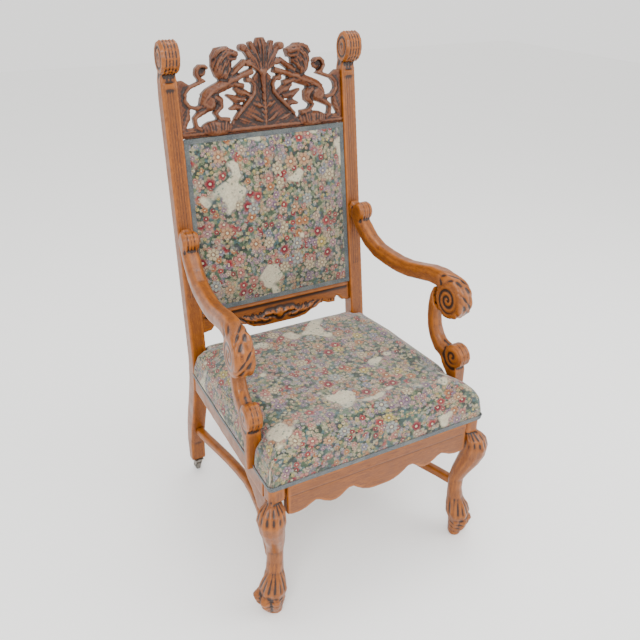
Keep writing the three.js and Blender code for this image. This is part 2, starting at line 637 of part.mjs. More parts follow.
// ---------------------------------------------------------------- seat
// The seat's outline seen from above, out from the rails' outer faces by a margin. The
// cushion falls a little towards the back.
function seatOutline(margin, z, corner = 9, steps = 2) {
  const [front, back] = [frontY - margin, 215 - Math.max(0, -margin)];
  const [wide, narrow] = [seatFrontHalf + margin, postInner + postWidth + margin];
  const corners = [[wide, front, -1], [narrow, back, 1], [-narrow, back, 1], [-wide, front, -1]];
  const points = [];
  const fall = (y) => (z > railTop + 20 ? Math.max(0, y - 110) * 0.13 : 0);
  corners.forEach(([x, y, end], index) => {
    const [sx, sy] = [Math.sign(x), end];
    for (let i = 0; i <= steps; i += 1) {
      const turn = (i / steps) * (Math.PI / 2);
      const swap = index % 2 === 0;
      const [c, s] = swap ? [Math.sin(turn), Math.cos(turn)] : [Math.cos(turn), Math.sin(turn)];
      const there = y - sy * corner * (1 - s);
      points.push(new THREE.Vector3(x - sx * corner * (1 - c), there, z - fall(there)));
    }
    const next = corners[(index + 1) % corners.length];
    for (const t of [0.33, 0.67]) {
      const there = mix(y, next[1], t);
      points.push(new THREE.Vector3(mix(x, next[0], t), there, z - fall(there)));
    }
  });
  return points;
}

function seatBlank() {
  return loft([
    seatOutline(-1, railTop + joint), seatOutline(0, railTop + 6), seatOutline(4, railTop + 18, 10), seatOutline(4, seatSide - 10, 14),
    seatOutline(-2, seatSide + 6, 18), seatOutline(-18, seatSide + 18, 26), seatOutline(-50, seatSide + 26, 40),
    seatOutline(-105, seatCrown, 60),
  ]);
}

// Room for the posts and for the arm supports' feet, all with the joint around them.
function seatNotches(extra = 0) {
  const clear = joint + extra;
  const posts = [1, -1].map((side) => box(
    side > 0 ? [postInner - clear, postFront(railTop) - clear - 0.5, 300] : [-400, postFront(railTop) - clear - 0.5, 300],
    side > 0 ? [400, 400, 600] : [-postInner + clear, 400, 600]));
  const middle = armThickness / 2 + supportShift;
  const half = supportThickness / 2 + clear + 2.6;
  const foot = plate([[402 - clear, 300], [435 + clear, 300], [435 + clear, 490], [455, 505], [455, 560], [330, 560], [334, 510], [362, 476], [396 - clear, 440]],
    half + 80, [[forward.x, forward.y, 0], [0, 0, 1], [forward.y, -forward.x, 0]], armPoint(0, 0, middle + 80).toArray());
  return [...posts, foot, mirrored(foot)];
}

const seat = () => cut(seatBlank(), seatNotches());

// Braid nailed round the foot of the seat's cloth. The supports' feet part it into a front
// length and a length along each side.
function seatGimp() {
  const [low, high] = [railTop + joint, railTop + gimpWidth];
  const outer = loft([seatOutline(2.4, low), seatOutline(4.6, high)]);
  const inner = loft([seatOutline(0.7, low - 1), seatOutline(3.4, high + 1)]);
  const behind = box([-400, postFront(railTop) - 0.8, 300], [400, 400, 600]);
  return cut(outer, [inner, behind, ...seatNotches().slice(2)]);
}

const gimpPart = (low, high) => keepInside(seatGimp(), box(low, high));

// ---------------------------------------------------------------- casters
function casterSocket() {
  const cap = box([casterX - 13, casterY - 13, rearFoot - 2.5], [casterX + 13, casterY + 13, rearFoot - joint]);
  const collar = indexed(new THREE.CylinderGeometry(8, 8, 3, 14)).rotateX(Math.PI / 2).translate(casterX, casterY, rearFoot - 3.5);
  return join([cap, collar]);
}

function casterHorn() {
  const top = rearFoot - 5.4;
  const inside = wheelWidth / 2 + 1;
  const cheekOutline = [[casterY - 9, top], [casterY - 9, top - 5], [casterY + casterTrail - 6, wheelRadius - 4],
    [casterY + casterTrail, wheelRadius - 6], [casterY + casterTrail + 6, wheelRadius - 4], [casterY + casterTrail + 7, wheelRadius + 6],
    [casterY + 9, top]];
  const cheek = (x) => plate(cheekOutline, 2.2, [[0, 1, 0], [0, 0, 1], [1, 0, 0]], [x, 0, 0]);
  const axleCentre = [casterX, casterY + casterTrail, wheelRadius];
  return join([
    box([casterX - inside - 2.2, casterY - 9, top - 5], [casterX + inside + 2.2, casterY + 9, top]),
    cheek(casterX + inside),
    cheek(casterX - inside - 2.2),
    axle(2.4, 2 * inside + 7, axleCentre, 12),
    axle(4, 1.6, [casterX + inside + 3, axleCentre[1], wheelRadius], 12),
    axle(4, 1.6, [casterX - inside - 3, axleCentre[1], wheelRadius], 12),
  ]);
}

function casterWheel() {
  const half = wheelWidth / 2;
  const profile = [[2.8, -half], [wheelRadius - 2, -half], [wheelRadius, -half + 2], [wheelRadius, half - 2], [wheelRadius - 2, half],
    [2.8, half], [2.8, -half]];
  const wheel = new THREE.LatheGeometry(profile.map(([r, y]) => new THREE.Vector2(r, y)), 14);
  return faceOutwards(indexed(wheel)).rotateZ(Math.PI / 2).translate(casterX, casterY + casterTrail, wheelRadius);
}

// ---------------------------------------------------------------- the chair
const throne = new THREE.Group();
throne.position.y = depthShift;

function add(group, name, geometry, material) {
  const mesh = new THREE.Mesh(geometry, material.clone());
  mesh.name = name;
  group.add(mesh);
}

function addPair(name, geometry, material) {
  add(throne, `${name}_right`, geometry, material);
  add(throne, `${name}_left`, mirrored(geometry), material);
}

const backrest = new THREE.Group();
backrest.position.set(0, postFrontAtCrest, crestFoot);
backrest.rotation.x = -backRake;
throne.add(backrest);

add(backrest, 'crest', crest(), carvedOak);
add(backrest, 'back_upholstery', backPanel(), tapestry);
add(backrest, 'back_gimp', backGimp(), slateGimp);
add(backrest, 'lower_back_rail', lowerBackRail(), goldenOak);

addPair('post', post(), goldenOak);
addPair('arm', arm(), goldenOak);
addPair('arm_support', armSupport(), goldenOak);
addPair('front_leg', frontLeg(), goldenOak);
addPair('stretcher', stretcher(), goldenOak);
addPair('side_rail', sideRail(), goldenOak);
addPair('knee_bracket', sideBracket(), goldenOak);
add(throne, 'front_rail', frontRail(), goldenOak);
add(throne, 'rear_rail', rearRail(), goldenOak);
add(throne, 'seat_upholstery', seat(), tapestry);
add(throne, 'seat_gimp_front', gimpPart([-400, -400, 300], [400, gimpBreak, 600]), slateGimp);
addPair('seat_gimp_side', gimpPart([0, gimpBreak, 300], [400, 400, 600]), slateGimp);
addPair('caster_socket', casterSocket(), agedSteel);
addPair('caster_horn', casterHorn(), agedSteel);
addPair('caster_wheel', casterWheel(), wornWheel);

export default throne;
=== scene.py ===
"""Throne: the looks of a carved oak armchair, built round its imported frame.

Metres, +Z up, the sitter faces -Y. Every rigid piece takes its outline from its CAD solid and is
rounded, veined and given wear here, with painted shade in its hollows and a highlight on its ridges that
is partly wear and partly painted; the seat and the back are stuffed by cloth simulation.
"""

import math

import bpy
import numpy as np
from mathutils import Matrix, Vector


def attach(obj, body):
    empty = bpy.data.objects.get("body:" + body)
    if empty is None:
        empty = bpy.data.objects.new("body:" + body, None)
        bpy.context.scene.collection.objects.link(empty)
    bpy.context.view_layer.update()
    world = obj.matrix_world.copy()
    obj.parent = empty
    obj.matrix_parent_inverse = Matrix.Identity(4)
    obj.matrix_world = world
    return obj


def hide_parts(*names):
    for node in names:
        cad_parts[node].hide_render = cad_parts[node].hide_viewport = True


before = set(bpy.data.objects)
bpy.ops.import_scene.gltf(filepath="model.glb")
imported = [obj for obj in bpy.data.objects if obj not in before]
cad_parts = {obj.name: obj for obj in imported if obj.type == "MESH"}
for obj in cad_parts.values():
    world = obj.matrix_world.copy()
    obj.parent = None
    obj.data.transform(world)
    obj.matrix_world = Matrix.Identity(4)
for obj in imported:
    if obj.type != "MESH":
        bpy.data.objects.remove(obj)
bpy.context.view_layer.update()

bl_info = {
    "name": "Throne",
    "version": (1, 0, 0),
    "blender": (4, 5, 0),
    "location": "View3D > Sidebar > Throne",
    "description": "Builds a carved oak throne chair with tapestry upholstery",
    "category": "Add Mesh",
}

BODY = "frame"
SIDES = ("right", "left")
RAKE = math.radians(8.1)  # the back leans this far behind vertical
CREST_FOOT = Vector((0.0, 0.2891, 1.0102))  # middle of the crest's foot, on the posts' front

# Millimetres. Rolls are (forward, up) beside an arm, or (back, up) on a post.
ARM_BACK, ARM_FRONT = (238.0, 203.4), (271.9, -175.1)  # inner face of the right arm, (across, back)
ARM_MIDDLE, SUPPORT_MIDDLE, POST_MIDDLE = 21.5, 11.5, 252.4
KNUCKLE, KNUCKLE_RADII = (375.0, 655.0), (49.0, 55.0)
ARM_TOP_ROLL, ARM_TOP_RADII = (-12.0, 769.0), (25.0, 28.0)
FOOT_ROLL, FOOT_ROLL_RADIUS = (417.0, 514.0), 32.0
SUPPORT_KNOB, SUPPORT_KNOB_RADIUS = (336.0, 640.0), 20.0
FINIAL, FINIAL_RADII = (309.9, 1207.0), (33.0, 42.0)
POST_REEDS, REED_PITCH = (600.0, 1133.0), 7.0
LEG_MIDDLE = (272.0, -284.0)
TAIL_SCROLL, TAIL_SCROLL_CUP = (162, 159), 10.0
TRUNK_EYE, TRUNK_EYE_RADIUS = (44, 131), 2.6
CLOTH_STEPS = 20
WORLD_LIGHT = 1.5


class ThroneSizes(bpy.types.PropertyGroup):
    carving_voxel: bpy.props.FloatProperty(
        name="Carving voxel", description="Fineness of the crest and the front legs", default=0.0021,
        unit="LENGTH")
    joinery_voxel: bpy.props.FloatProperty(
        name="Joinery voxel", description="Fineness of arms, rails and posts", default=0.0024,
        unit="LENGTH")
    cloth_voxel: bpy.props.FloatProperty(
        name="Cloth voxel", description="Fineness of the stuffed cloth before it swells", default=0.0068,
        unit="LENGTH")
    gouge_depth: bpy.props.FloatProperty(
        name="Gouge depth", description="Depth of a carved stroke", default=0.0018, unit="LENGTH")
    stuffing: bpy.props.FloatProperty(
        name="Stuffing", description="Pressure that fills the seat and the back", default=4.0)
    swell_limit: bpy.props.FloatProperty(
        name="Swell limit", description="Furthest that the cloth may swell", default=0.009, unit="LENGTH")
    stitch: bpy.props.FloatProperty(
        name="Stitch", description="Width of one tapestry stitch", default=0.0016, unit="LENGTH")


class ThroneColours(bpy.types.PropertyGroup):
    oak_light: bpy.props.FloatVectorProperty(
        name="Light oak", description="Light grain of the golden oak", subtype="COLOR", size=3,
        default=(0.235, 0.066, 0.003))
    oak_dark: bpy.props.FloatVectorProperty(
        name="Dark oak", description="Dark grain of the golden oak", subtype="COLOR", size=3,
        default=(0.085, 0.018, 0.001))
    carving: bpy.props.FloatVectorProperty(
        name="Carving", description="Stained oak of the carved parts", subtype="COLOR", size=3,
        default=(0.060, 0.011, 0.002))
    # Painted shade: the dark colour laid into hollows and recesses, where shade falls.
    shadow: bpy.props.FloatVectorProperty(
        name="Hollow", description="Old varnish in the hollows", subtype="COLOR", size=3,
        default=(0.012, 0.003, 0.001))
    # Partly painted highlight: this lighter colour on the carving's ridges is partly rubbing and dust,
    # partly painted highlight.
    dust_and_highlight: bpy.props.FloatVectorProperty(
        name="Dust", description="Rubbed, dusty high spots", subtype="COLOR", size=3,
        default=(0.15, 0.058, 0.024))
    braid: bpy.props.FloatVectorProperty(
        name="Braid", description="Slate braid", subtype="COLOR", size=3, default=(0.045, 0.054, 0.059))
    metal: bpy.props.FloatVectorProperty(
        name="Caster metal", description="Dulled steel", subtype="COLOR", size=3,
        default=(0.34, 0.31, 0.27))


# ---------------------------------------------------------------- meshes
def deselect_all():
    if bpy.context.mode != "OBJECT":
        bpy.ops.object.mode_set(mode="OBJECT")
    bpy.ops.object.select_all(action="DESELECT")


def make_active(obj):
    deselect_all()
    obj.select_set(True)
    bpy.context.view_layer.objects.active = obj


def copy_of(node, name):
    """A piece that starts from a CAD node's solid, with its loose corners joined."""
    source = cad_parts[node]
    piece = bpy.data.objects.new(name, source.data.copy())
    bpy.context.scene.collection.objects.link(piece)
    piece.data.materials.clear()
    make_active(piece)
    bpy.ops.object.mode_set(mode="EDIT")
    bpy.ops.mesh.select_all(action="SELECT")
    bpy.ops.mesh.remove_doubles(threshold=0.00002)
    bpy.ops.object.mode_set(mode="OBJECT")
    for attribute in list(piece.data.attributes):
        if attribute.name in ("custom_normal", "sharp_edge", "sharp_face"):
            piece.data.attributes.remove(attribute)
    return piece


def apply_modifier(piece, kind, **settings):
    make_active(piece)
    modifier = piece.modifiers.new(kind.title(), kind)
    for key, value in settings.items():
        setattr(modifier, key, value)
    bpy.ops.object.modifier_apply(modifier=modifier.name)


def round_over(piece, voxel, smoothing):
    """Turns a faceted solid into an evenly meshed, rounded one."""
    apply_modifier(piece, "REMESH", mode="VOXEL", voxel_size=voxel, adaptivity=0.0)
    apply_modifier(piece, "SMOOTH", factor=0.5, iterations=smoothing)
    make_active(piece)
    bpy.ops.object.shade_smooth()


def places(piece):
    flat = np.empty(len(piece.data.vertices) * 3, dtype=np.float32)
    piece.data.vertices.foreach_get("co", flat)
    return flat.reshape(-1, 3).astype(np.float64)


def set_places(piece, points):
    piece.data.vertices.foreach_set("co", points.astype(np.float32).ravel())
    piece.data.update()


def facing(piece):
    flat = np.empty(len(piece.data.vertices) * 3, dtype=np.float32)
    piece.data.vertex_normals.foreach_get("vector", flat)
    return flat.reshape(-1, 3).astype(np.float64)


def edge_pairs(piece):
    flat = np.empty(len(piece.data.edges) * 2, dtype=np.int32)
    piece.data.edges.foreach_get("vertices", flat)
    return flat.reshape(-1, 2)


def spread(values, pairs, rounds):
    """Averages values with their neighbours', several times."""
    count = np.bincount(pairs.ravel(), minlength=len(values)).astype(np.float64)
    count = np.maximum(count, 1.0)
    result = values.copy()
    for _ in range(rounds):
        total = np.zeros_like(result)
        np.add.at(total, pairs[:, 0], result[pairs[:, 1]])
        np.add.at(total, pairs[:, 1], result[pairs[:, 0]])
        result = 0.4 * result + 0.6 * total / (count[:, None] if result.ndim > 1 else count)
    return result


def mark_relief(piece, reach):
    """Stores how far each point stands proud of its surroundings: hollows below 0.5, ridges above."""
    points, normals, pairs = places(piece), facing(piece), edge_pairs(piece)
    calm = spread(points, pairs, 14)
    proud = ((points - calm) * normals).sum(1) / reach
    value = np.clip(0.5 + spread(proud, pairs, 1), 0.0, 1.0)
    attribute = piece.data.attributes.new("relief", "FLOAT", "POINT")
    attribute.data.foreach_set("value", value.astype(np.float32))


def rise(value, start, width):
    """0 before start, 1 from a width past it, and straight between."""
    return np.clip((value - start) / width, 0, 1)


def fall(value, end, width):
    """1 until a width before end, 0 past it, and straight between."""
    return np.clip((end - value) / width, 0, 1)


def to_crest(points):
    """Places as (across, up, forward) in the leaning plane of the back, in millimetres."""
    moved = (points - np.array(CREST_FOOT)) * 1000.0
    up = moved[:, 1] * math.sin(RAKE) + moved[:, 2] * math.cos(RAKE)
    forward = -moved[:, 1] * math.cos(RAKE) + moved[:, 2] * math.sin(RAKE)
    return np.column_stack([moved[:, 0], up, forward])


def smooth_route(route, count):
    """count points along a smooth curve through the route."""
    knots = np.array(route, dtype=float)
    padded = np.vstack([2 * knots[0] - knots[1], knots, 2 * knots[-1] - knots[-2]])
    result = []
    for t in np.linspace(0, len(knots) - 1.0001, count):
        i = int(t)
        s = t - i
        a, b, c, d = padded[i:i + 4]
        bend = (2 * a - 5 * b + 4 * c - d) * s * s
        twist = (3 * b - a - 3 * c + d) * s ** 3
        result.append(0.5 * (2 * b + (c - a) * s + bend + twist))
    return np.array(result)


def stroke(flat, route, width, count=14):
    """Strength, from 0 to 1, of a gouge stroke along a route in a plane. Its ends taper."""
    path = smooth_route(route, count)
    lowest, highest = path.min(0) - width, path.max(0) + width
    near = np.all((flat > lowest) & (flat < highest), axis=1)
    strength = np.zeros(len(flat))
    if not near.any():
        return strength
    part = flat[near]
    best = np.zeros(len(part))
    for i in range(len(path) - 1):
        t_middle = (i + 0.5) / (len(path) - 1)
        taper = 0.35 + 0.65 * math.sin(math.pi * min(max(t_middle, 0.04), 0.96))
        step = path[i + 1] - path[i]
        t = np.clip(((part - path[i]) @ step) / max(step @ step, 1e-9), 0, 1)
        distance = np.linalg.norm(part - (path[i] + t[:, None] * step), axis=1)
        best = np.maximum(best, np.clip(1 - (distance / (width * taper)) ** 2, 0, 1))
    strength[near] = best
    return strength


def push(piece, amount):
    """Moves every point along its normal, outwards where amount is positive, in metres."""
    set_places(piece, places(piece) + facing(piece) * amount[:, None])


def finish_piece(piece, material, body=BODY, nodes=()):
    piece.data.materials.append(material)
    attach(piece, body)
    if nodes:
        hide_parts(*nodes)


# ---------------------------------------------------------------- materials
class Nodes:
    """Small helper that adds shader nodes and links them."""

    def __init__(self, name):
        self.material = bpy.data.materials.new(name)
        self.material.use_nodes = True
        self.tree = self.material.node_tree
        self.shader = self.tree.nodes["Principled BSDF"]
        self.where = self.add("ShaderNodeTexCoord").outputs["Object"]

    def add(self, kind, inputs=None, **settings):
        node = self.tree.nodes.new(kind)
        for key, value in settings.items():
            setattr(node, key, value)
        for key, value in (inputs or {}).items():
            self.give(node.inputs[key], value)
        return node

    def give(self, socket, value):
        if isinstance(value, bpy.types.NodeSocket):
            self.tree.links.new(value, socket)
        else:
            socket.default_value = value

    def maths(self, operation, first, second=0.0, third=0.0, clamp=False):
        node = self.add("ShaderNodeMath", {0: first, 1: second, 2: third}, operation=operation)
        node.use_clamp = clamp
        return node.outputs[0]

    def vector(self, operation, first, second=(0, 0, 0), output="Vector"):
        node = self.add("ShaderNodeVectorMath", {0: first, 1: second}, operation=operation)
        return node.outputs[output]

    def stretch(self, source, scale, turn=(0, 0, 0)):
        return self.add("ShaderNodeMapping",
            {"Vector": source, "Scale": scale, "Rotation": turn}).outputs["Vector"]

    def noise(self, source, scale, detail=3.0, rough=0.55):
        node = self.add("ShaderNodeTexNoise",
            {"Vector": source, "Scale": scale, "Detail": detail, "Roughness": rough})
        return node.outputs["Fac"]

    def ramp(self, factor, stops, smooth=False):
        node = self.add("ShaderNodeValToRGB", {"Fac": factor})
        node.color_ramp.interpolation = "EASE" if smooth else "LINEAR"
        elements = node.color_ramp.elements
        while len(elements) < len(stops):
            elements.new(0.5)
        for element, (place, colour) in zip(elements, stops):
            element.position = place
            element.color = (*colour, 1.0) if not isinstance(colour, float) else (colour, colour, colour,
                1.0)
        return node.outputs["Color"]

    def mix(self, factor, first, second, blend="MIX"):
        node = self.add("ShaderNodeMix", data_type="RGBA", blend_type=blend)
        self.give(node.inputs["Factor"], factor)
        self.give(node.inputs["A"],
            (*first, 1.0) if isinstance(first, tuple) and len(first) == 3 else first)
        self.give(node.inputs["B"],
            (*second, 1.0) if isinstance(second, tuple) and len(second) == 3 else second)
        return node.outputs["Result"]

    def bump(self, height, strength, distance, under=None):
        node = self.add("ShaderNodeBump", {"Height": height, "Strength": strength, "Distance": distance})
        if under is not None:
            self.give(node.inputs["Normal"], under)
        return node.outputs["Normal"]

    def span(self, value, low, high, out_low=0.0, out_high=1.0):
        node = self.add("ShaderNodeMapRange",
            {"Value": value, "From Min": low, "From Max": high, "To Min": out_low, "To Max": out_high})
        return node.outputs["Result"]

    def finish(self, colour, roughness, normal=None, **constants):
        self.give(self.shader.inputs["Base Color"], colour)
        self.give(self.shader.inputs["Roughness"], roughness)
        if normal is not None:
            self.give(self.shader.inputs["Normal"], normal)
        for name, value in constants.items():
            self.shader.inputs[name.replace("_", " ")].default_value = value
        return self.material


def oak(name, colours, grain, carved=False, wear_and_painted_light=False):
    """Varnished oak. grain squeezes the pattern along the wood: small numbers run with the grain."""
    n = Nodes(name)
    light, dark = tuple(colours.oak_light), tuple(colours.oak_dark)
    stain, hollow_shade, dust_and_highlight = tuple(colours.carving), tuple(colours.shadow), tuple(colours.dust_and_highlight)
    along = n.stretch(n.where, grain)
    drift = n.noise(along, 9.0, 2.0)
    figure = n.noise(n.vector("ADD", along,
        n.add("ShaderNodeCombineXYZ", {"X": drift, "Y": drift}).outputs[0]), 55.0, 5.0, 0.6)
    pores = n.noise(n.stretch(along, (6, 6, 1.2)), 130.0, 2.0, 0.7)
    cloud = n.noise(n.where, 7.0, 3.0)
    wood = n.mix(n.span(figure, 0.36, 0.62), dark, light)
    wood = n.mix(n.span(cloud, 0.35, 0.7, 0.0, 0.35), wood, tuple(c * 0.62 for c in light))
    wood = n.mix(n.span(pores, 0.60, 0.72, 0.0, 0.55), wood, tuple(c * 0.45 for c in dark))
    relief = n.add("ShaderNodeAttribute", attribute_name="relief", attribute_type="GEOMETRY").outputs["Fac"]
    if carved:
        patches = n.span(n.noise(n.where, 16.0, 4.0), 0.38, 0.62)
        wood = n.mix(n.maths("MULTIPLY", patches, 0.30), n.mix(0.85, wood, stain), wood)
    # For plain oak as for carving: painted shade in the hollows and a ridge highlight that is partly wear
    # and partly painted.
    if carved or wear_and_painted_light:
        # Ridges lighter: partly rubbing and dust, partly painted highlight.
        rubbed_and_highlight = n.maths("MULTIPLY", n.span(relief, 0.62, 0.92),
            n.span(n.noise(n.where, 40.0, 3.0), 0.35, 0.65, 0.15, 0.85))
        wood = n.mix(rubbed_and_highlight, wood, dust_and_highlight if carved else tuple(c * 1.25 for c in light))
        # Hollows darker: painted shade, where the recesses of carving and mouldings fall into shadow.
        wood = n.mix(n.span(relief, 0.49, 0.28, 0.0, 0.95), wood, hollow_shade)
    rough = n.span(n.noise(n.where, 30.0, 3.0), 0.3, 0.7, 0.30 if not carved else 0.36,
        0.48 if not carved else 0.62)
    grain_bump = n.bump(n.maths("ADD", n.maths("MULTIPLY", figure, 0.35), pores), 0.22, 0.0006)
    return n.finish(wood, rough, grain_bump, Specular_IOR_Level=0.38, Coat_Weight=0.12, Coat_Roughness=0.22)


def petals(n, flat, size, seed, petal_count, colour_stops, fullness):
    """One layer of round flowers: (colour, mask). flat is the cloth's own pattern coordinate."""
    moved = n.vector("ADD", flat, (seed * 1.37, seed * 0.71, 0.0))
    cell = n.add("ShaderNodeTexVoronoi", {"Vector": moved, "Scale": 1.0 / size, "Randomness": 0.85},
        voronoi_dimensions="2D")
    centre = cell.outputs["Position"]
    offset = n.vector("SUBTRACT", moved, centre)
    split = n.add("ShaderNodeSeparateXYZ", {0: offset})
    radius = n.maths("DIVIDE", n.vector("LENGTH", offset, output="Value"), size)
    angle = n.maths("ARCTAN2", split.outputs[1], split.outputs[0])
    tint = n.add("ShaderNodeSeparateColor", {0: cell.outputs["Color"]})
    chance, hue, turn = tint.outputs[0], tint.outputs[1], tint.outputs[2]
    wave = n.maths("SINE",
        n.maths("ADD", n.maths("MULTIPLY", angle, float(petal_count)), n.maths("MULTIPLY", turn, 6.28)))
    edge = n.maths("ADD", n.maths("MULTIPLY", wave, 0.045), n.maths("MULTIPLY_ADD", turn, 0.09, 0.36))
    inside = n.maths("DIVIDE", radius, edge)
    shown = n.maths("LESS_THAN", chance, fullness)
    mask = n.maths("MULTIPLY", n.span(inside, 1.0, 0.92), shown)
    petal = n.ramp(hue, colour_stops)
    petal.node.color_ramp.interpolation = "CONSTANT"
    shade = n.mix(n.span(inside, 0.35, 1.0, 0.0, 0.30), petal, (0.86, 0.78, 0.66))
    veins = n.maths("MULTIPLY", n.span(wave, -0.6, -1.0), n.span(inside, 0.2, 0.6))
    shade = n.mix(n.maths("MULTIPLY", veins, 0.75), shade, (0.10, 0.035, 0.05))
    eye = n.span(inside, 0.27, 0.20)
    ring = n.maths("MULTIPLY", n.span(inside, 0.42, 0.34), n.maths("SUBTRACT", 1.0, eye))
    shade = n.mix(n.maths("MULTIPLY", ring, 0.85), shade, (0.12, 0.03, 0.05))
    shade = n.mix(eye, shade, (0.86, 0.80, 0.62))
    outline = n.maths("MULTIPLY", n.span(inside, 0.84, 0.93), 0.65)
    shade = n.mix(outline, shade, (0.05, 0.055, 0.05))
    return shade, mask


def tapestry(name, stitch, seed):
    """Woven meadow of small flowers on dark leaves, with pale open clearings."""
    n = Nodes(name)
    cloth = n.add("ShaderNodeUVMap", uv_map="cloth").outputs["UV"]
    flat = n.vector("SNAP", n.vector("ADD", cloth, (seed, seed * 0.5, 0.0)), (stitch, stitch, stitch))
    far = n.noise(flat, 9.0, 1.0)
    leaves = n.add("ShaderNodeTexVoronoi", {"Vector": flat, "Scale": 125.0}, voronoi_dimensions="2D")
    leaf_tint = n.add("ShaderNodeSeparateColor", {0: leaves.outputs["Color"]})
    ground = n.ramp(leaf_tint.outputs[0], [
        (0.0, (0.050, 0.062, 0.050)), (0.22, (0.115, 0.150, 0.105)), (0.40, (0.230, 0.265, 0.185)),
        (0.56, (0.120, 0.175, 0.175)),
        (0.68, (0.500, 0.475, 0.360)), (0.80, (0.075, 0.080, 0.085)), (0.90, (0.330, 0.330, 0.230))])
    ground.node.color_ramp.interpolation = "CONSTANT"
    stems = n.span(n.add("ShaderNodeTexVoronoi", {"Vector": flat, "Scale": 62.0}, voronoi_dimensions="2D",
        feature="DISTANCE_TO_EDGE").outputs[0], 0.07, 0.02)
    ground = n.mix(n.maths("MULTIPLY", stems, 0.7), ground, (0.040, 0.050, 0.042))
    cream = n.span(n.noise(n.vector("ADD", flat, (4.1, 1.7, 0)), 8.5, 2.0), 0.615, 0.64)
    sprig = n.span(n.add("ShaderNodeTexVoronoi", {"Vector": flat, "Scale": 95.0},
        voronoi_dimensions="2D").outputs["Distance"], 0.30, 0.20)
    open_ground = n.mix(n.maths("MULTIPLY", sprig, n.span(n.noise(flat, 60.0, 2.0), 0.5, 0.58)),
        (0.92, 0.86, 0.70), (0.22, 0.28, 0.22))
    ground = n.mix(cream, ground, open_ground)
    teal = n.span(n.noise(n.vector("ADD", flat, (9.3, 6.1, 0)), 11.0, 1.0), 0.56, 0.62)
    ground = n.mix(n.maths("MULTIPLY", teal, 0.25), ground, (0.20, 0.27, 0.27))
    colour = ground
    rose = [(0.0, (0.42, 0.13, 0.14)), (0.25, (0.60, 0.33, 0.30)), (0.45, (0.27, 0.055, 0.075)),
        (0.62, (0.55, 0.30, 0.20)), (0.8, (0.62, 0.50, 0.40))]
    mauve = [(0.0, (0.33, 0.24, 0.31)), (0.3, (0.22, 0.16, 0.24)), (0.55, (0.52, 0.36, 0.38)),
        (0.75, (0.28, 0.30, 0.36))]
    pale = [(0.0, (0.68, 0.60, 0.44)), (0.35, (0.62, 0.42, 0.30)), (0.6, (0.60, 0.52, 0.26)),
        (0.8, (0.38, 0.42, 0.40))]
    quiet = n.maths("SUBTRACT", 1.0, n.maths("MULTIPLY", cream, 0.9))
    layers = [
        (0.0115, 1.0, 5, pale, 0.60, None), (0.0160, 2.0, 5, mauve, 0.70, (0.50, 0.43)),
        (0.0200, 3.0, 5, rose, 0.75, (0.48, 0.54)),
        (0.0290, 4.0, 6, mauve, 0.62, (0.49, 0.42)), (0.0340, 5.0, 5, rose, 0.66, (0.49, 0.55)),
        (0.0400, 6.0, 7, pale, 0.16, None),
    ]
    for size, layer_seed, count, stops, fullness, zone in layers:
        shade, mask = petals(n, flat, size, layer_seed, count, stops, fullness)
        mask = n.maths("MULTIPLY", mask, quiet)
        if zone:
            mask = n.maths("MULTIPLY", mask,
                n.span(n.noise(n.vector("ADD", flat, (layer_seed, 0, 0)), 13.0, 1.0), zone[0], zone[1]))
        colour = n.mix(mask, colour, shade)
    colour = n.mix(n.span(far, 0.35, 0.65, 0.0, 0.08), colour, (0.30, 0.31, 0.28))
    thread = n.add("ShaderNodeTexWhiteNoise", {"Vector": flat}, noise_dimensions="2D").outputs["Value"]
    colour = n.mix(1.0, colour, n.ramp(thread, [(0.0, 0.72), (1.0, 1.12)]), blend="MULTIPLY")
    colour = n.add("ShaderNodeHueSaturation",
        {"Color": colour, "Saturation": 1.5, "Value": 0.50}).outputs[0]
    split = n.add("ShaderNodeSeparateXYZ", {0: cloth})
    turns = 2 * math.pi / stitch
    weave = n.maths("MULTIPLY", n.maths("SINE", n.maths("MULTIPLY", split.outputs[0], turns)),
        n.maths("SINE", n.maths("MULTIPLY", split.outputs[1], turns)))
    normal = n.bump(n.maths("ADD", weave, n.maths("MULTIPLY", thread, 0.6)), 0.35, 0.0006)
    return n.finish(colour, 0.92, normal, Specular_IOR_Level=0.2, Sheen_Weight=0.25, Sheen_Roughness=0.5)


def braid(name, colours):
    """Slate braid: slanting cords that cross, on a woven ground."""
    n = Nodes(name)
    slate = tuple(colours.braid)
    split = n.add("ShaderNodeSeparateXYZ", {0: n.where})
    run = n.maths("ADD", n.maths("ADD", split.outputs[0], split.outputs[1]), split.outputs[2])
    counter = n.maths("SUBTRACT",
        n.maths("ADD", split.outputs[0], n.maths("MULTIPLY", split.outputs[1], 0.9)), split.outputs[2])
    first = n.maths("SINE", n.maths("MULTIPLY", run, 2 * math.pi / 0.0042))
    second = n.maths("SINE", n.maths("MULTIPLY", counter, 2 * math.pi / 0.0042))
    plait = n.maths("MAXIMUM", first, second)
    fuzz = n.noise(n.where, 420.0, 3.0)
    patch = n.noise(n.where, 24.0, 2.0)
    # Darker between the cords and lighter on their crowns: painted shade and painted highlight.
    colour = n.mix(n.span(plait, -0.4, 0.9), tuple(c * 0.42 for c in slate),
        tuple(min(c * 1.5, 1.0) for c in slate))
    colour = n.mix(n.span(patch, 0.4, 0.65, 0.0, 0.3), colour, (0.20, 0.205, 0.17))
    colour = n.mix(n.span(fuzz, 0.45, 0.75, 0.0, 0.35), colour, (0.30, 0.33, 0.34))
    return n.finish(colour, 0.9, n.bump(n.maths("ADD", plait, fuzz), 0.7, 0.0009), Specular_IOR_Level=0.2,
        Sheen_Weight=0.2)


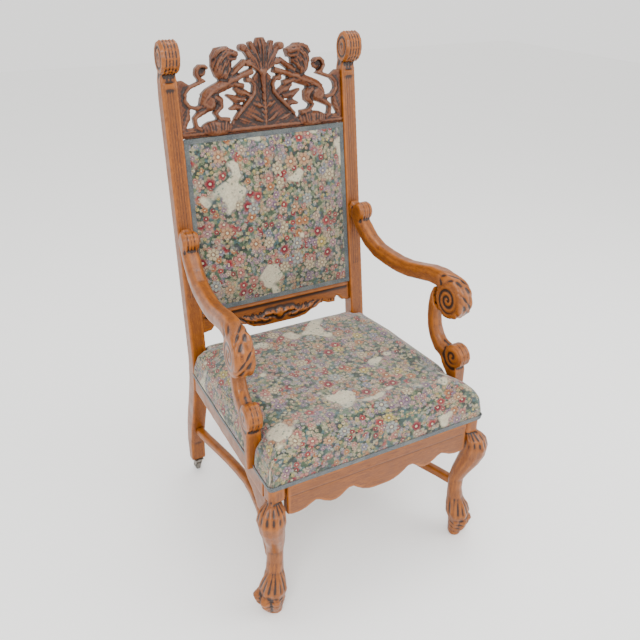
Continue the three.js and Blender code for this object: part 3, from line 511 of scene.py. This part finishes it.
def old_metal(name, tone, roughness):
    n = Nodes(name)
    cloud = n.noise(n.where, 160.0, 4.0)
    stain = n.noise(n.where, 60.0, 3.0)
    scratch = n.noise(n.stretch(n.where, (4, 1, 1)), 500.0, 2.0)
    colour = n.mix(n.span(cloud, 0.35, 0.7), tuple(c * 0.45 for c in tone), tone)
    colour = n.mix(n.span(stain, 0.55, 0.68, 0.0, 0.7), colour, (0.10, 0.055, 0.03))
    rough = n.span(cloud, 0.3, 0.7, roughness - 0.12, roughness + 0.15)
    return n.finish(colour, rough, n.bump(n.maths("ADD", cloud, scratch), 0.25, 0.0003), Metallic=0.85)


FINISHES = {}


def make_finishes(colours, sizes):
    FINISHES["post"] = oak("Oak, upright grain", colours, (6.0, 6.0, 0.45), wear_and_painted_light=True)
    FINISHES["arm"] = oak("Oak, grain fore and aft", colours, (6.0, 0.6, 2.2), wear_and_painted_light=True)
    FINISHES["rail"] = oak("Oak, grain across", colours, (0.45, 6.0, 6.0), wear_and_painted_light=True)
    FINISHES["side"] = oak("Oak, side grain", colours, (6.0, 0.45, 6.0), wear_and_painted_light=True)
    FINISHES["carving"] = oak("Stained carving", colours, (3.0, 3.0, 1.4), carved=True)
    FINISHES["seat"] = tapestry("Seat tapestry", sizes.stitch, 0.0)
    FINISHES["back"] = tapestry("Back tapestry", sizes.stitch, 3.37)
    FINISHES["braid"] = braid("Slate braid", colours)
    FINISHES["metal"] = old_metal("Dulled steel", tuple(colours.metal), 0.42)
    FINISHES["wheel"] = old_metal("Worn wheel", tuple(c * 0.75 for c in colours.metal), 0.55)


# ---------------------------------------------------------------- carving strokes
# Routes on the crest as (across, up) in millimetres, for the right-hand side.
MANE = [
    [(106, 213), (120, 206), (133, 192), (139, 176)], [(103, 207), (115, 200), (126, 187), (133, 168)],
    [(101, 200), (111, 192), (120, 178), (128, 160)], [(100, 192), (108, 184), (115, 170), (122, 152)],
    [(98, 184), (104, 175), (110, 162), (116, 146)], [(96, 176), (100, 166), (104, 154), (108, 142)],
    [(112, 210), (126, 200), (136, 184), (140, 164)], [(94, 168), (97, 158), (100, 148), (101, 140)],
    [(131, 178), (135, 164), (137, 150), (136, 138)], [(96, 209), (106, 216), (118, 213)],
]
LEAF_VEINS = [
    [(207, 72), (211, 56), (218, 38), (225, 24)], [(205, 60), (211, 50)], [(206, 50), (213, 42)],
    [(210, 38), (218, 32)],
    [(44, 94), (58, 101), (70, 105), (82, 112)], [(46, 90), (56, 96)],
    [(58, 86), (74, 86), (90, 91), (102, 98)],
    [(66, 82), (78, 81)], [(70, 66), (82, 68), (95, 63)], [(188, 19), (204, 21), (222, 19)],
]
PALMETTE_VEINS = [
    [(2, 152), (3, 184), (5, 212), (5, 230)], [(9, 156), (17, 184), (25, 208), (30, 220)],
    [(12, 154), (26, 180), (39, 198), (47, 207)],
    [(9, 170), (11, 196), (12, 222)], [(16, 158), (24, 164), (33, 170)],
]
TRUNK_STROKES = [
    [(3, 26), (14, 34), (28, 44)], [(3, 40), (13, 48), (24, 58)], [(3, 54), (12, 62), (24, 74)],
    [(2, 74), (10, 82), (18, 92)],
    [(2, 92), (8, 102), (12, 116)], [(14, 22), (34, 28), (54, 38)], [(40, 22), (58, 27), (76, 36)],
    [(6, 110), (9, 124), (10, 138)],
]
BODY_STROKES = [
    [(150, 98), (160, 92), (168, 80), (166, 68)], [(140, 88), (146, 80), (146, 68)],
    [(118, 116), (124, 112), (132, 108)],
    [(126, 118), (133, 113), (142, 109)], [(101, 40), (97, 37), (96, 33)], [(107, 41), (104, 36)],
    [(180, 22), (176, 19)],
    [(34, 155), (31, 151)], [(40, 153), (38, 148)], [(58, 119), (54, 116)], [(48, 181), (44, 177)],
]
FACE_STROKES = [[(81, 205), (85, 203), (89, 204)], [(70, 190), (78, 188), (88, 190)],
    [(72, 197), (75, 196)], [(92, 212), (97, 208), (97, 202)]]


def carve_crest(piece, depth):
    here = to_crest(places(piece))
    flat = np.column_stack([np.abs(here[:, 0]), here[:, 1]])
    front = np.clip((here[:, 2] + 16.0) / 6.0, 0.0, 1.0) * np.clip(-facing(piece)[:, 1] * 1.5 + 0.2, 0.0,
        1.0)
    cut = np.zeros(len(flat))
    for routes, width, weight in (
            (MANE, 2.4, 1.0), (LEAF_VEINS, 2.0, 0.9), (PALMETTE_VEINS, 3.0, 1.1), (TRUNK_STROKES, 2.6, 1.0),
            (BODY_STROKES, 1.8, 0.7), (FACE_STROKES, 1.8, 1.0)):
        for route in routes:
            cut = np.maximum(cut, weight * stroke(flat, route, width))
    for index in range(11):
        blade = 100 + index * 7.4
        cut = np.maximum(cut, 0.9 * stroke(flat,
            [(blade, 10), (blade + (index - 5) * 0.8, 24), (blade + (index - 5) * 1.8, 34)], 1.9))
    scroll = np.hypot(flat[:, 0] - TAIL_SCROLL[0], flat[:, 1] - TAIL_SCROLL[1])
    cup = np.clip(1 - (scroll / TAIL_SCROLL_CUP) ** 2, 0, 1)
    eye_reach = np.hypot(flat[:, 0] - TRUNK_EYE[0], flat[:, 1] - TRUNK_EYE[1])
    eye = np.clip(1 - (eye_reach / TRUNK_EYE_RADIUS) ** 2, 0, 1)
    amount = -depth * cut * front - 0.005 * cup * front - 0.001 * eye * front
    ripple = np.sin(flat[:, 1] * 0.55 + flat[:, 0] * 0.2) * np.sin(flat[:, 0] * 0.5)
    amount += 0.00035 * ripple * front
    tool_marks = np.sin(here[:, 0] * 1.1 + 2 * np.sin(here[:, 1] * 0.21)) * np.sin(here[:,
        1] * 0.9 + 2 * np.sin(here[:, 0] * 0.17))
    amount += 0.00045 * tool_marks * front
    push(piece, amount)


def carve_lower_rail(piece, depth):
    here = to_crest(places(piece))
    flat = np.column_stack([np.abs(here[:, 0]), here[:, 1]])
    front = np.clip(-facing(piece)[:, 1] * 1.5 + 0.2, 0.0, 1.0)
    cut = np.zeros(len(flat))
    for base in (12, 34, 56, 78, 100, 122):
        for lean in (-1, 0, 1):
            route = [(base, -526 + abs(lean) * 2), (base + 7 + lean * 3, -516 + lean * 4),
                (base + 18, -508 + lean * 7)]
            cut = np.maximum(cut, stroke(flat, route, 1.9))
    for base in (60, 84, 108, 186):
        bead = np.hypot(flat[:, 0] - base, flat[:, 1] + 503)
        cut = np.maximum(cut, np.clip(1 - ((bead - 4.0) / 1.4) ** 2, 0, 1))
    for bead in range(8):
        cut = np.maximum(cut, stroke(flat, [(160 + bead * 3.2, -516), (160 + bead * 3.2, -506)], 1.3))
    push(piece, -depth * cut * front)


def stroke_field(angle, across, count, slant, sharp=1.0):
    """Overlapping flame-like strokes round a roll: a wave along angle that leans across the width."""
    phase = angle * count + across * slant
    wave = 0.5 + 0.5 * np.sin(phase + 1.3 * np.sin(across * slant * 0.5 + angle * count * 0.5))
    return wave ** sharp


def arm_frame(points):
    """Places as (forward, up, outwards) of an arm's inner face, in millimetres."""
    back, front = np.array(ARM_BACK), np.array(ARM_FRONT)
    ahead = (front - back) / np.linalg.norm(front - back)
    flat = np.column_stack([np.abs(points[:, 0]) * 1000.0, points[:, 1] * 1000.0]) - back
    forward = flat @ ahead
    outward = flat @ np.array([-ahead[1], ahead[0]])
    return forward, points[:, 2] * 1000.0, outward


def carve_arm(piece, depth):
    forward, up, outward = arm_frame(places(piece))
    middle = outward - ARM_MIDDLE
    dx, dz = forward - KNUCKLE[0], up - KNUCKLE[1]
    radius = np.hypot(dx / KNUCKLE_RADII[0], dz / KNUCKLE_RADII[1])
    angle = np.arctan2(dz, dx)
    knuckle = rise(forward, 322.0, 22.0)
    rim = rise(radius, 0.72, 0.2)
    locks = stroke_field(angle, middle / 10.0, 9.0, 2.6, 1.6)
    faces = np.clip((np.abs(middle) - 19.0) / 4.0, 0, 1) * np.clip(1.0 - radius, 0, 1) * 2.0
    volute = 0.5 + 0.5 * np.sin(radius * 20.0 - angle * 1.0)
    amount = -depth * knuckle * (rim * locks * 1.25 + np.clip(faces, 0, 1) * volute * 0.9)
    top = np.hypot((forward - ARM_TOP_ROLL[0]) / ARM_TOP_RADII[0],
        (up - ARM_TOP_ROLL[1]) / ARM_TOP_RADII[1])
    reeds = 0.5 + 0.5 * np.cos(middle * 2 * math.pi / 8.6)
    amount -= depth * 0.8 * reeds * fall(top, 1.25, 0.2) * rise(top, 0.6, 0.2)
    bead = np.clip(1 - ((np.abs(middle) - 18.2) / 1.4) ** 2, 0, 1)
    below = np.clip(-facing(piece)[:, 2] * 2.0, 0, 1) * (1 - knuckle)
    amount -= 0.0010 * bead * below
    push(piece, amount)


def carve_support(piece, depth):
    forward, up, outward = arm_frame(places(piece))
    middle = outward - SUPPORT_MIDDLE
    dx, dz = forward - FOOT_ROLL[0], up - FOOT_ROLL[1]
    radius = np.hypot(dx, dz) / FOOT_ROLL_RADIUS
    angle = np.arctan2(dz, dx)
    roll = fall(radius, 1.3, 0.25)
    rim = rise(radius, 0.7, 0.2)
    flutes = (0.5 + 0.5 * np.cos(middle * 2 * math.pi / 6.0)) * np.clip((dx + 6.0) / 16.0, 0, 1)
    side_face = np.clip((np.abs(middle) - 15.0) / 3.0, 0, 1)
    volute = 0.5 + 0.5 * np.sin(radius * 11.0 - angle)
    amount = -depth * roll * (rim * flutes * 0.9 + side_face * volute * 0.8)
    leaf = rise(forward, 345.0, 20.0) * fall(forward, 400.0, 20.0) * fall(up, 560.0, 12.0)
    amount -= depth * 0.7 * leaf * stroke_field(up / 22.0, middle / 9.0, 3.0, 2.4)
    knob = np.hypot(forward - SUPPORT_KNOB[0], up - SUPPORT_KNOB[1]) / SUPPORT_KNOB_RADIUS
    amount -= depth * 0.6 * fall(knob, 1.2, 0.2) * (0.5 + 0.5 * np.sin(knob * 12.0))
    push(piece, amount)


def carve_leg(piece, depth):
    points = places(piece)
    height = points[:, 2] * 1000.0
    across, along = np.abs(points[:, 0]) * 1000.0 - LEG_MIDDLE[0], points[:, 1] * 1000.0 - LEG_MIDDLE[1]
    angle = np.arctan2(along + 6.0, across - 2.0)
    fan = rise(height, 296.0, 18.0) * fall(height, 346.0, 8.0)
    amount = -depth * fan * (0.5 + 0.5 * np.cos(angle * 22.0)) * 0.85
    fur = rise(height, 66.0, 12.0) * fall(height, 128.0, 26.0)
    amount -= depth * fur * (0.5 + 0.5 * np.sin(angle * 13.0 + height * 0.05)) * 0.95
    creases = rise(height, 10.0, 8.0) * fall(height, 62.0, 8.0)
    amount -= depth * 0.7 * creases * np.clip(np.sin(height * 0.42 + angle * 2.0), 0, 1) ** 3
    push(piece, amount)


def carve_post(piece, depth):
    points = places(piece)
    x = np.abs(points[:, 0]) * 1000.0 - POST_MIDDLE
    y, z = points[:, 1] * 1000.0, points[:, 2] * 1000.0
    dy, dz = y - FINIAL[0], z - FINIAL[1]
    radius = np.hypot(dy / FINIAL_RADII[0], dz / FINIAL_RADII[1])
    angle = np.arctan2(dz, -dy)
    roll = rise(z, 1150.0, 12.0)
    rim = rise(radius, 0.75, 0.15)
    ribs = 0.5 + 0.5 * np.cos(x * 2 * math.pi / 8.4 + math.pi)
    low = fall(z, 1196.0, 26.0)
    leaf = 0.5 + 0.5 * np.sin(angle * 16.0 + np.abs(x) * 0.35)
    amount = -depth * roll * rim * (ribs * 0.8 + low * leaf * 0.8)
    beads = np.clip(1 - (x / 2.6) ** 2, 0, 1) * (0.5 + 0.5 * np.cos(angle * 26.0))
    amount += depth * 0.8 * roll * rim * beads
    shaft = rise(z, POST_REEDS[0], 6.0) * fall(z, POST_REEDS[1], 6.0)
    shaft = shaft * np.clip(-facing(piece)[:, 1] * 3.0 - 1.6, 0, 1)
    groove = np.clip(1 - (((np.abs(x) + REED_PITCH / 2) % REED_PITCH - REED_PITCH / 2) / 2.2) ** 2, 0,
        1) * (np.abs(x) < 16.0)
    amount -= 0.0008 * shaft * groove
    face = np.clip((np.abs(x) - 18.0) / 3.0, 0, 1) * roll
    amount -= depth * 0.9 * face * np.clip(1 - radius, 0, 1) * (0.5 + 0.5 * np.sin(radius * 17.0 - angle))
    push(piece, amount)


def relief_piece(node, name, voxel, smoothing, finish, carve=None, reach=0.0011):
    piece = copy_of(node, name)
    round_over(piece, voxel, smoothing)
    if carve:
        carve(piece)
    mark_relief(piece, reach)
    finish_piece(piece, FINISHES[finish], nodes=(node,))
    return piece


# ---------------------------------------------------------------- upholstery
def cloth_map(piece, kind):
    """Lays the cloth's pattern over a cushion as the weaver's cloth runs: over the crown and down."""
    points, normals = places(piece), facing(piece)
    if kind == "seat":
        top = points[:, 2].max()
        drop = top - points[:, 2]
        u = points[:, 0] + np.sign(points[:, 0]) * drop * np.clip(np.abs(normals[:, 0]) * 1.4 - 0.2, 0, 1)
        v = points[:, 1] + np.sign(normals[:, 1]) * drop * np.clip(np.abs(normals[:, 1]) * 1.4 - 0.2, 0, 1)
    else:
        leaning = to_crest(points) / 1000.0
        u, v = leaning[:, 0], leaning[:, 1]
    layer = piece.data.uv_layers.new(name="cloth")
    corners = np.empty(len(piece.data.loops), dtype=np.int32)
    piece.data.loops.foreach_get("vertex_index", corners)
    layer.data.foreach_set("uv", np.column_stack([u, v])[corners].astype(np.float32).ravel())


def stuff(piece, pressure, limit, hold):
    """Swells a cushion by cloth simulation. hold is a mask of the points that stay nailed down."""
    group = piece.vertex_groups.new(name="nailed")
    group.add([int(i) for i in np.nonzero(hold)[0]], 1.0, "REPLACE")
    before = places(piece)
    modifier = piece.modifiers.new("Cloth", "CLOTH")
    settings = modifier.settings
    settings.quality = 4
    settings.mass = 0.3
    settings.tension_stiffness = 30
    settings.compression_stiffness = 30
    settings.bending_stiffness = 4
    settings.use_pressure = True
    settings.uniform_pressure_force = pressure
    settings.effector_weights.gravity = 0
    settings.vertex_group_mass = "nailed"
    modifier.point_cache.frame_start = 1
    modifier.point_cache.frame_end = CLOTH_STEPS
    scene = bpy.context.scene
    for step in range(1, CLOTH_STEPS + 1):
        scene.frame_set(step)
    shaped = piece.evaluated_get(bpy.context.evaluated_depsgraph_get()).to_mesh()
    flat = np.empty(len(shaped.vertices) * 3, dtype=np.float32)
    shaped.vertices.foreach_get("co", flat)
    after = flat.reshape(-1, 3).astype(np.float64)
    piece.modifiers.remove(modifier)
    move = after - before
    length = np.linalg.norm(move, axis=1)
    move *= (np.minimum(length, limit) / np.maximum(length, 1e-9))[:, None]
    set_places(piece, before + spread(move, edge_pairs(piece), 3))
    scene.frame_set(1)
    piece.vertex_groups.clear()


# ---------------------------------------------------------------- operators
class THRONE_OT_stage(bpy.types.Operator):
    """Pale floor, soft studio light and the camera at the standing viewer's angle."""

    bl_idname = "throne.stage"
    bl_label = "Stage"
    bl_description = "Adds the floor, the lights and the camera"

    def execute(self, context):
        deselect_all()
        bpy.ops.mesh.primitive_plane_add(size=16.0, location=(0, 0, -0.0006))
        floor = context.object
        floor.name = "floor"
        n = Nodes("Pale floor")
        floor.data.materials.append(n.finish(n.mix(n.noise(n.where, 2.0), (0.93, 0.93, 0.92),
            (0.95, 0.95, 0.94)), 0.9))
        world = bpy.data.worlds.new("Studio")
        world.use_nodes = True
        world.node_tree.nodes["Background"].inputs["Color"].default_value = (1.0, 0.99, 0.97, 1.0)
        world.node_tree.nodes["Background"].inputs["Strength"].default_value = WORLD_LIGHT
        context.scene.world = world
        for name, place, size, power in (
                ("Key", (-1.9, -2.6, 2.9), 1.8, 120.0), ("Fill", (2.6, -1.8, 1.7), 2.2, 45.0),
                ("Top", (0.3, 0.2, 3.4), 1.6, 45.0)):
            lamp = bpy.data.lights.new(name, "AREA")
            lamp.size, lamp.energy = size, power
            light = bpy.data.objects.new(name, lamp)
            light.location = place
            light.rotation_euler = (Vector((0, 0, 0.6)) - light.location).to_track_quat("-Z",
                "Y").to_euler()
            context.scene.collection.objects.link(light)
        lens = bpy.data.cameras.new("Camera")
        lens.lens, lens.sensor_width = 41.23, 36.0
        lens.shift_x, lens.shift_y = 0.0072, -0.0568
        camera = bpy.data.objects.new("Camera", lens)
        azimuth, elevation, roll = math.radians(-29.31), math.radians(25.26), math.radians(0.93)
        away = Vector((math.sin(azimuth) * math.cos(elevation), -math.cos(azimuth) * math.cos(elevation),
            math.sin(elevation)))
        right = (-away).cross(Vector((0, 0, 1))).normalized()
        upward = right.cross(-away)
        rolled_right = right * math.cos(roll) + upward * math.sin(roll)
        rolled_up = upward * math.cos(roll) - right * math.sin(roll)
        turn = Matrix((rolled_right, rolled_up, away)).transposed().to_4x4()
        camera.matrix_world = Matrix.Translation((-0.81997, -1.43807, 1.46899)) @ turn
        context.scene.collection.objects.link(camera)
        context.scene.camera = camera
        return {"FINISHED"}


class THRONE_OT_carvings(bpy.types.Operator):
    """Rounds the crest's forms and cuts manes, veins and grass into them."""

    bl_idname = "throne.carvings"
    bl_label = "Crest and lower back rail"
    bl_description = "Carves the lions, the palmette and the rail under the back"

    def execute(self, context):
        sizes = context.scene.throne_sizes
        relief_piece("crest", "carved_crest", sizes.carving_voxel, 5, "carving",
                     lambda piece: carve_crest(piece, sizes.gouge_depth), 0.0012)
        relief_piece("lower_back_rail", "carved_back_rail", sizes.joinery_voxel, 4, "rail",
                     lambda piece: carve_lower_rail(piece, sizes.gouge_depth))
        return {"FINISHED"}


class THRONE_OT_posts(bpy.types.Operator):
    """Rounds the posts' edges and cuts the ribs of their scrolled tops."""

    bl_idname = "throne.posts"
    bl_label = "Posts"
    bl_description = "Shapes both back posts with their scrolled tops"

    def execute(self, context):
        sizes = context.scene.throne_sizes
        for side in SIDES:
            relief_piece(f"post_{side}", f"carved_post_{side}", sizes.joinery_voxel, 4, "post",
                         lambda piece: carve_post(piece, sizes.gouge_depth))
        return {"FINISHED"}


class THRONE_OT_arms(bpy.types.Operator):
    """Rounds each arm and support and cuts the flame strokes, flutes and volutes."""

    bl_idname = "throne.arms"
    bl_label = "Arms and supports"
    bl_description = "Shapes the arms, their carved knuckles and their supports"

    def execute(self, context):
        sizes = context.scene.throne_sizes
        for side in SIDES:
            relief_piece(f"arm_{side}", f"carved_arm_{side}", sizes.joinery_voxel, 16, "arm",
                         lambda piece: carve_arm(piece, sizes.gouge_depth))
            relief_piece(f"arm_support_{side}", f"carved_support_{side}", sizes.joinery_voxel, 10, "post",
                         lambda piece: carve_support(piece, sizes.gouge_depth))
        return {"FINISHED"}


class THRONE_OT_legs(bpy.types.Operator):
    """Rounds the legs, cuts knee reeds and fur, and softens brackets and stretchers."""

    bl_idname = "throne.legs"
    bl_label = "Front legs, brackets and stretchers"
    bl_description = "Shapes the paw-footed legs, the knee brackets and the stretchers"

    def execute(self, context):
        sizes = context.scene.throne_sizes
        for side in SIDES:
            relief_piece(f"front_leg_{side}", f"carved_leg_{side}", sizes.carving_voxel, 9, "post",
                         lambda piece: carve_leg(piece, sizes.gouge_depth))
            relief_piece(f"stretcher_{side}", f"turned_stretcher_{side}", sizes.joinery_voxel, 6, "side")
            relief_piece(f"knee_bracket_{side}", f"shaped_bracket_{side}", sizes.joinery_voxel, 3, "side")
        return {"FINISHED"}


class THRONE_OT_rails(bpy.types.Operator):
    """Gives the shaped front rail soft edges with wear and paints the plain rails; all of them get painted
    shade in their hollows and a highlight on their ridges that is partly wear and partly painted.
    """

    bl_idname = "throne.rails"
    bl_label = "Seat rails"
    bl_description = "Finishes the seat rails"

    def execute(self, context):
        sizes = context.scene.throne_sizes
        relief_piece("front_rail", "shaped_front_rail", sizes.joinery_voxel, 2, "rail")
        for side in SIDES:
            relief_piece(f"side_rail_{side}", f"worn_side_rail_{side}", sizes.joinery_voxel, 2, "side")
        relief_piece("rear_rail", "worn_rear_rail", 0.003, 1, "rail")
        return {"FINISHED"}


class THRONE_OT_upholstery(bpy.types.Operator):
    """Makes the crowned seat and the padded back from their solids by cloth simulation."""

    bl_idname = "throne.upholstery"
    bl_label = "Upholstery"
    bl_description = "Stuffs the seat and the back"

    def execute(self, context):
        sizes = context.scene.throne_sizes
        for node, name, kind, fill in (("seat_upholstery", "stuffed_seat", "seat", 0.8),
                ("back_upholstery", "stuffed_back", "back", 0.85)):
            piece = copy_of(node, name)
            round_over(piece, sizes.cloth_voxel, 3)
            points = places(piece)
            if kind == "seat":
                hold = points[:, 2] < points[:, 2].min() + 0.016
            else:
                leaning = to_crest(points)
                rim = (np.abs(leaning[:, 0]) > 216) | (leaning[:, 1] > -16) | (leaning[:, 1] < -447)
                hold = rim | (leaning[:, 2] < -12)
            stuff(piece, sizes.stuffing, sizes.swell_limit, hold)
            apply_modifier(piece, "SUBSURF", levels=1, render_levels=1)
            cloth_map(piece, kind)
            finish_piece(piece, FINISHES[kind], nodes=(node,))
        return {"FINISHED"}


class THRONE_OT_fittings(bpy.types.Operator):
    """Gives the braid, sockets, forks and wheels their finishes."""

    bl_idname = "throne.fittings"
    bl_label = "Braid and casters"
    bl_description = "Finishes the braid and the casters"

    def execute(self, context):
        for node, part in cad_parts.items():
            finish = None
            if "gimp" in node:
                finish = FINISHES["braid"]
            elif node.startswith("caster_wheel"):
                finish = FINISHES["wheel"]
            elif node.startswith("caster"):
                finish = FINISHES["metal"]
            if finish:
                for index in range(len(part.material_slots)):
                    part.material_slots[index].material = finish
        return {"FINISHED"}


class THRONE_PT_panel(bpy.types.Panel):
    """Lists the sizes, the colours and one button for each group of pieces."""

    bl_label = "Throne"
    bl_idname = "THRONE_PT_panel"
    bl_space_type = "VIEW_3D"
    bl_region_type = "UI"
    bl_category = "Throne"

    def draw(self, context):
        for group in (context.scene.throne_sizes, context.scene.throne_colours):
            for name in group.__annotations__:
                self.layout.prop(group, name)
        for operator in OPERATORS:
            self.layout.operator(operator.bl_idname)


OPERATORS = (
    THRONE_OT_stage, THRONE_OT_carvings, THRONE_OT_posts, THRONE_OT_arms, THRONE_OT_legs, THRONE_OT_rails,
    THRONE_OT_upholstery,
    THRONE_OT_fittings,
)
CLASSES = (ThroneSizes, ThroneColours, *OPERATORS, THRONE_PT_panel)


def register():
    for cls in CLASSES:
        bpy.utils.register_class(cls)
    bpy.types.Scene.throne_sizes = bpy.props.PointerProperty(type=ThroneSizes)
    bpy.types.Scene.throne_colours = bpy.props.PointerProperty(type=ThroneColours)


def unregister():
    del bpy.types.Scene.throne_colours
    del bpy.types.Scene.throne_sizes
    for cls in reversed(CLASSES):
        bpy.utils.unregister_class(cls)


def main():
    register()
    scene = bpy.context.scene
    make_finishes(scene.throne_colours, scene.throne_sizes)
    bpy.ops.throne.stage()
    bpy.ops.throne.carvings()
    bpy.ops.throne.posts()
    bpy.ops.throne.arms()
    bpy.ops.throne.legs()
    bpy.ops.throne.rails()
    bpy.ops.throne.upholstery()
    bpy.ops.throne.fittings()


if __name__ == "__main__":
    main()
